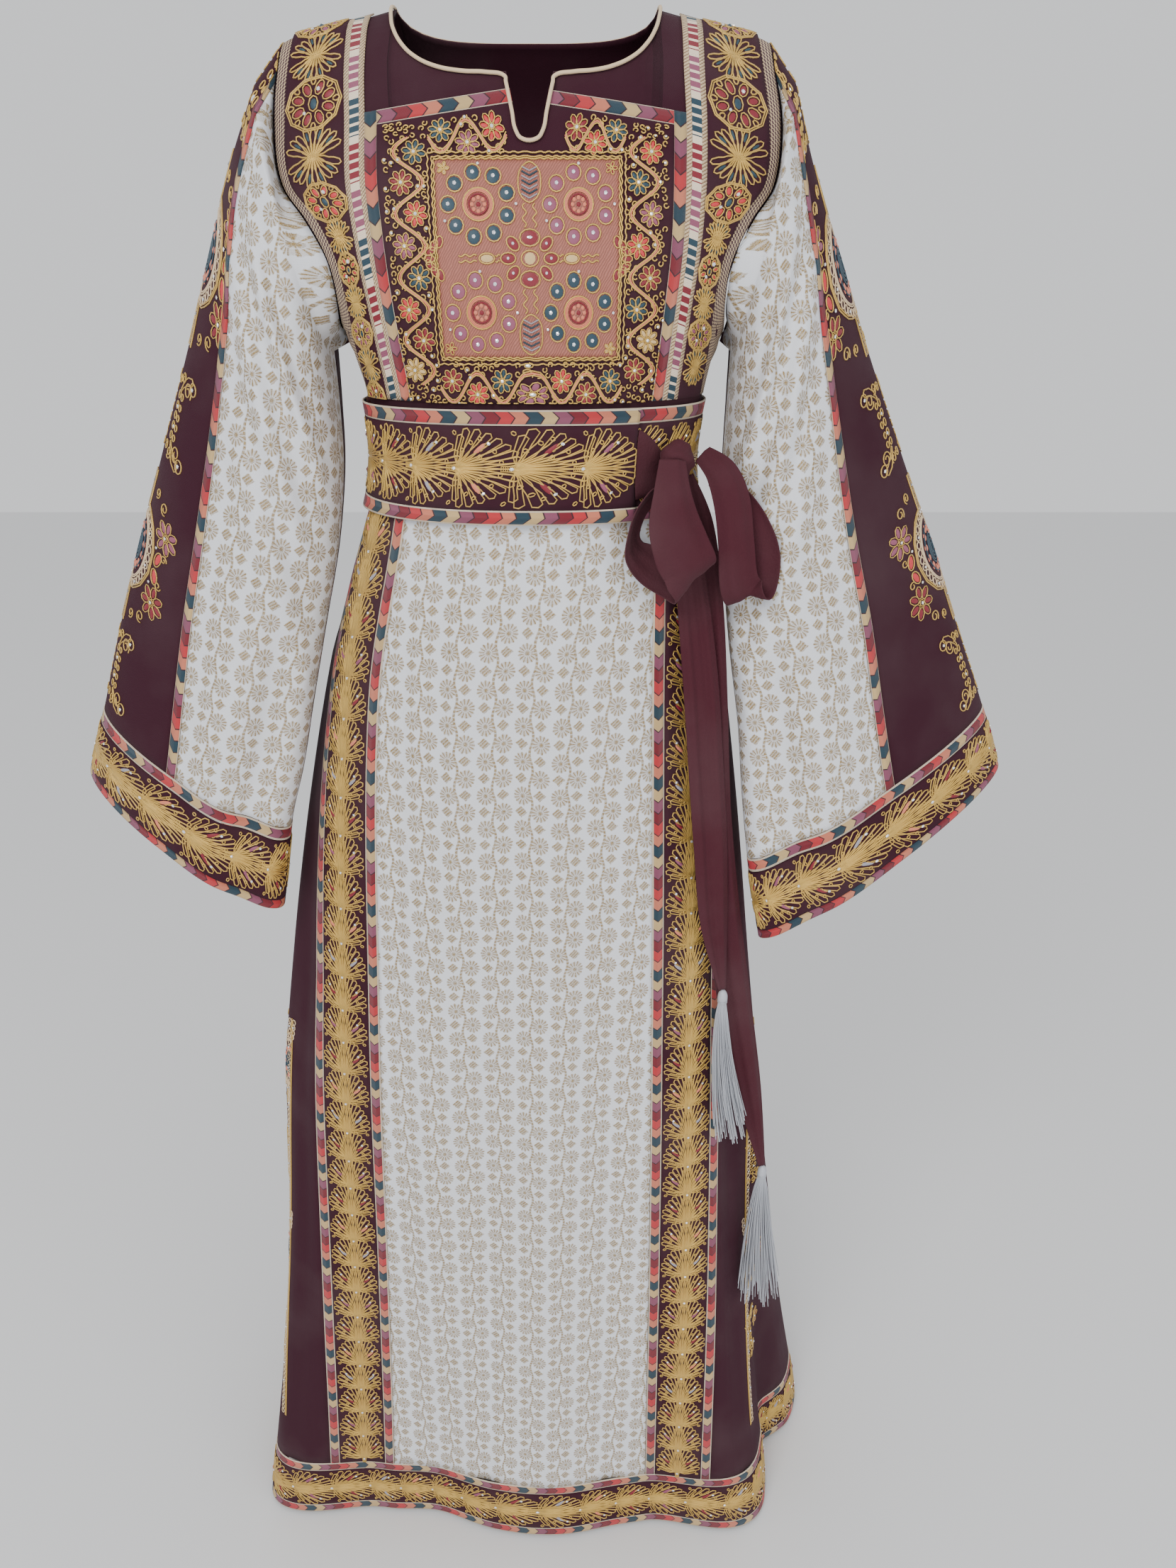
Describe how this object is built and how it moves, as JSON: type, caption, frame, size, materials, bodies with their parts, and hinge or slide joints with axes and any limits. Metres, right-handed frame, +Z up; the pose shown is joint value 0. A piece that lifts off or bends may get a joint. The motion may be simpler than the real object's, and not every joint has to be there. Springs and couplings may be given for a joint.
{
  "type": "embroidered thobe with belt, sash and tassels",
  "caption": "Long wide-sleeved embroidered thobe dress in worn form, hollow, with braid-edged gold bands, belt, tied sash and tassels.",
  "frame": {"origin": "base of the neck, midway between the neck points of the shoulders, where the wearer's shoulders carry the dress", "axes": "+Z up, the front faces -Y, +X to the viewer's right"},
  "size_m": [0.819, 0.3682, 1.4746],
  "materials": {
    "plum_cloth": "matt plum crepe",
    "cream_brocade": "white satin ground with beige metallic figures",
    "chest_embroidery": "couched gold cord and silk stitches on rose and plum ground, with stones",
    "gold_embroidery": "dense looped gold cord on plum ground, with stones",
    "chevron_braid": "satin stitched chevrons in six colours with cream piping",
    "beige_cord": "twisted beige cord and woven tape",
    "sash_crepe": "soft crinkled crepe",
    "silver_thread": "silky silver grey thread"
  },
  "bodies": {
    "root": {"bodice_front": "plum_cloth", "bodice_back": "plum_cloth", "skirt_side_left": "plum_cloth", "skirt_side_right": "plum_cloth", "skirt_back": "plum_cloth", "sleeve_outer_left": "plum_cloth", "sleeve_outer_right": "plum_cloth", "skirt_front": "cream_brocade", "sleeve_front_left": "cream_brocade", "sleeve_front_right": "cream_brocade", "chest_panel": "chest_embroidery", "shoulder_band_left": "gold_embroidery", "shoulder_band_right": "gold_embroidery", "skirt_band_left": "gold_embroidery", "skirt_band_right": "gold_embroidery", "hem_band_front": "gold_embroidery", "hem_band_back": "gold_embroidery", "belt_band": "gold_embroidery", "cuff_band_left": "gold_embroidery", "cuff_band_right": "gold_embroidery", "chest_braid_top_left": "chevron_braid", "chest_braid_top_right": "chevron_braid", "chest_braid_left": "chevron_braid", "chest_braid_right": "chevron_braid", "skirt_braid_outer_left": "chevron_braid", "skirt_braid_inner_left": "chevron_braid", "skirt_braid_inner_right": "chevron_braid", "skirt_braid_outer_right": "chevron_braid", "hem_braid_upper_front": "chevron_braid", "hem_braid_upper_back": "chevron_braid", "hem_braid_lower_front": "chevron_braid", "hem_braid_lower_back": "chevron_braid", "belt_braid_top": "chevron_braid", "belt_braid_bottom": "chevron_braid", "sleeve_braid_left": "chevron_braid", "sleeve_braid_right": "chevron_braid", "cuff_braid_upper_left": "chevron_braid", "cuff_braid_upper_right": "chevron_braid", "cuff_braid_lower_left": "chevron_braid", "cuff_braid_lower_right": "chevron_braid", "block_tape_left": "beige_cord", "block_tape_right": "beige_cord", "neck_binding": "beige_cord", "sash_knot": "sash_crepe", "bow_loop_front": "sash_crepe", "bow_loop_back": "sash_crepe", "sash_tail_short": "sash_crepe", "sash_tail_long": "sash_crepe", "tassel_short": "silver_thread", "tassel_long": "silver_thread"}
  },
  "joints": []
}
